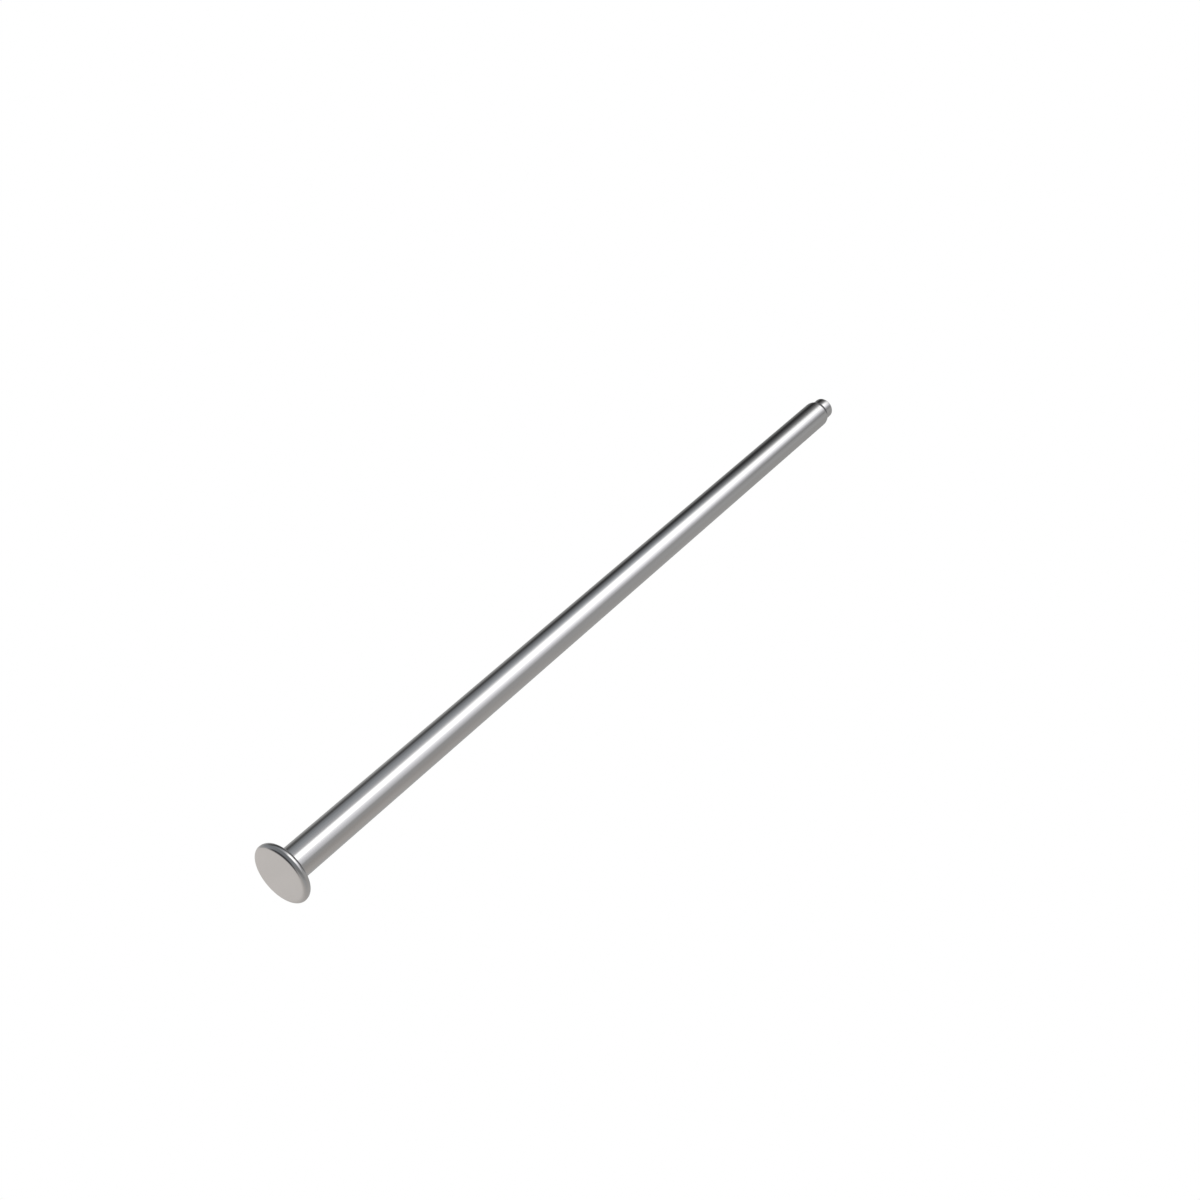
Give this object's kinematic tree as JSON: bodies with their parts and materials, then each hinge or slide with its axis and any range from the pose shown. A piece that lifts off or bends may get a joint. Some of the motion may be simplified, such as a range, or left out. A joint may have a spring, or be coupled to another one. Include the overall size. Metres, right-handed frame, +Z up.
{
  "type": "headed pin",
  "caption": "Bright steel headed pin: a thin round flat head, a long plain straight shank and a short stepped end. It fixes, hinges or locates parts.",
  "frame": {"origin": "centre of the head's flat front face", "axes": "+X runs along the pin's axis, from the head to the stub's end; the pin lies level with +Z up"},
  "size_m": [0.1518, 0.0096, 0.0096],
  "materials": {
    "head_steel": "bright, fine turned and polished",
    "shank_steel": "bright drawn and polished",
    "tip_steel": "bright, fine turned"
  },
  "bodies": {
    "root": {"head": "head_steel", "shank": "shank_steel", "tip_stub": "tip_steel"}
  },
  "joints": []
}
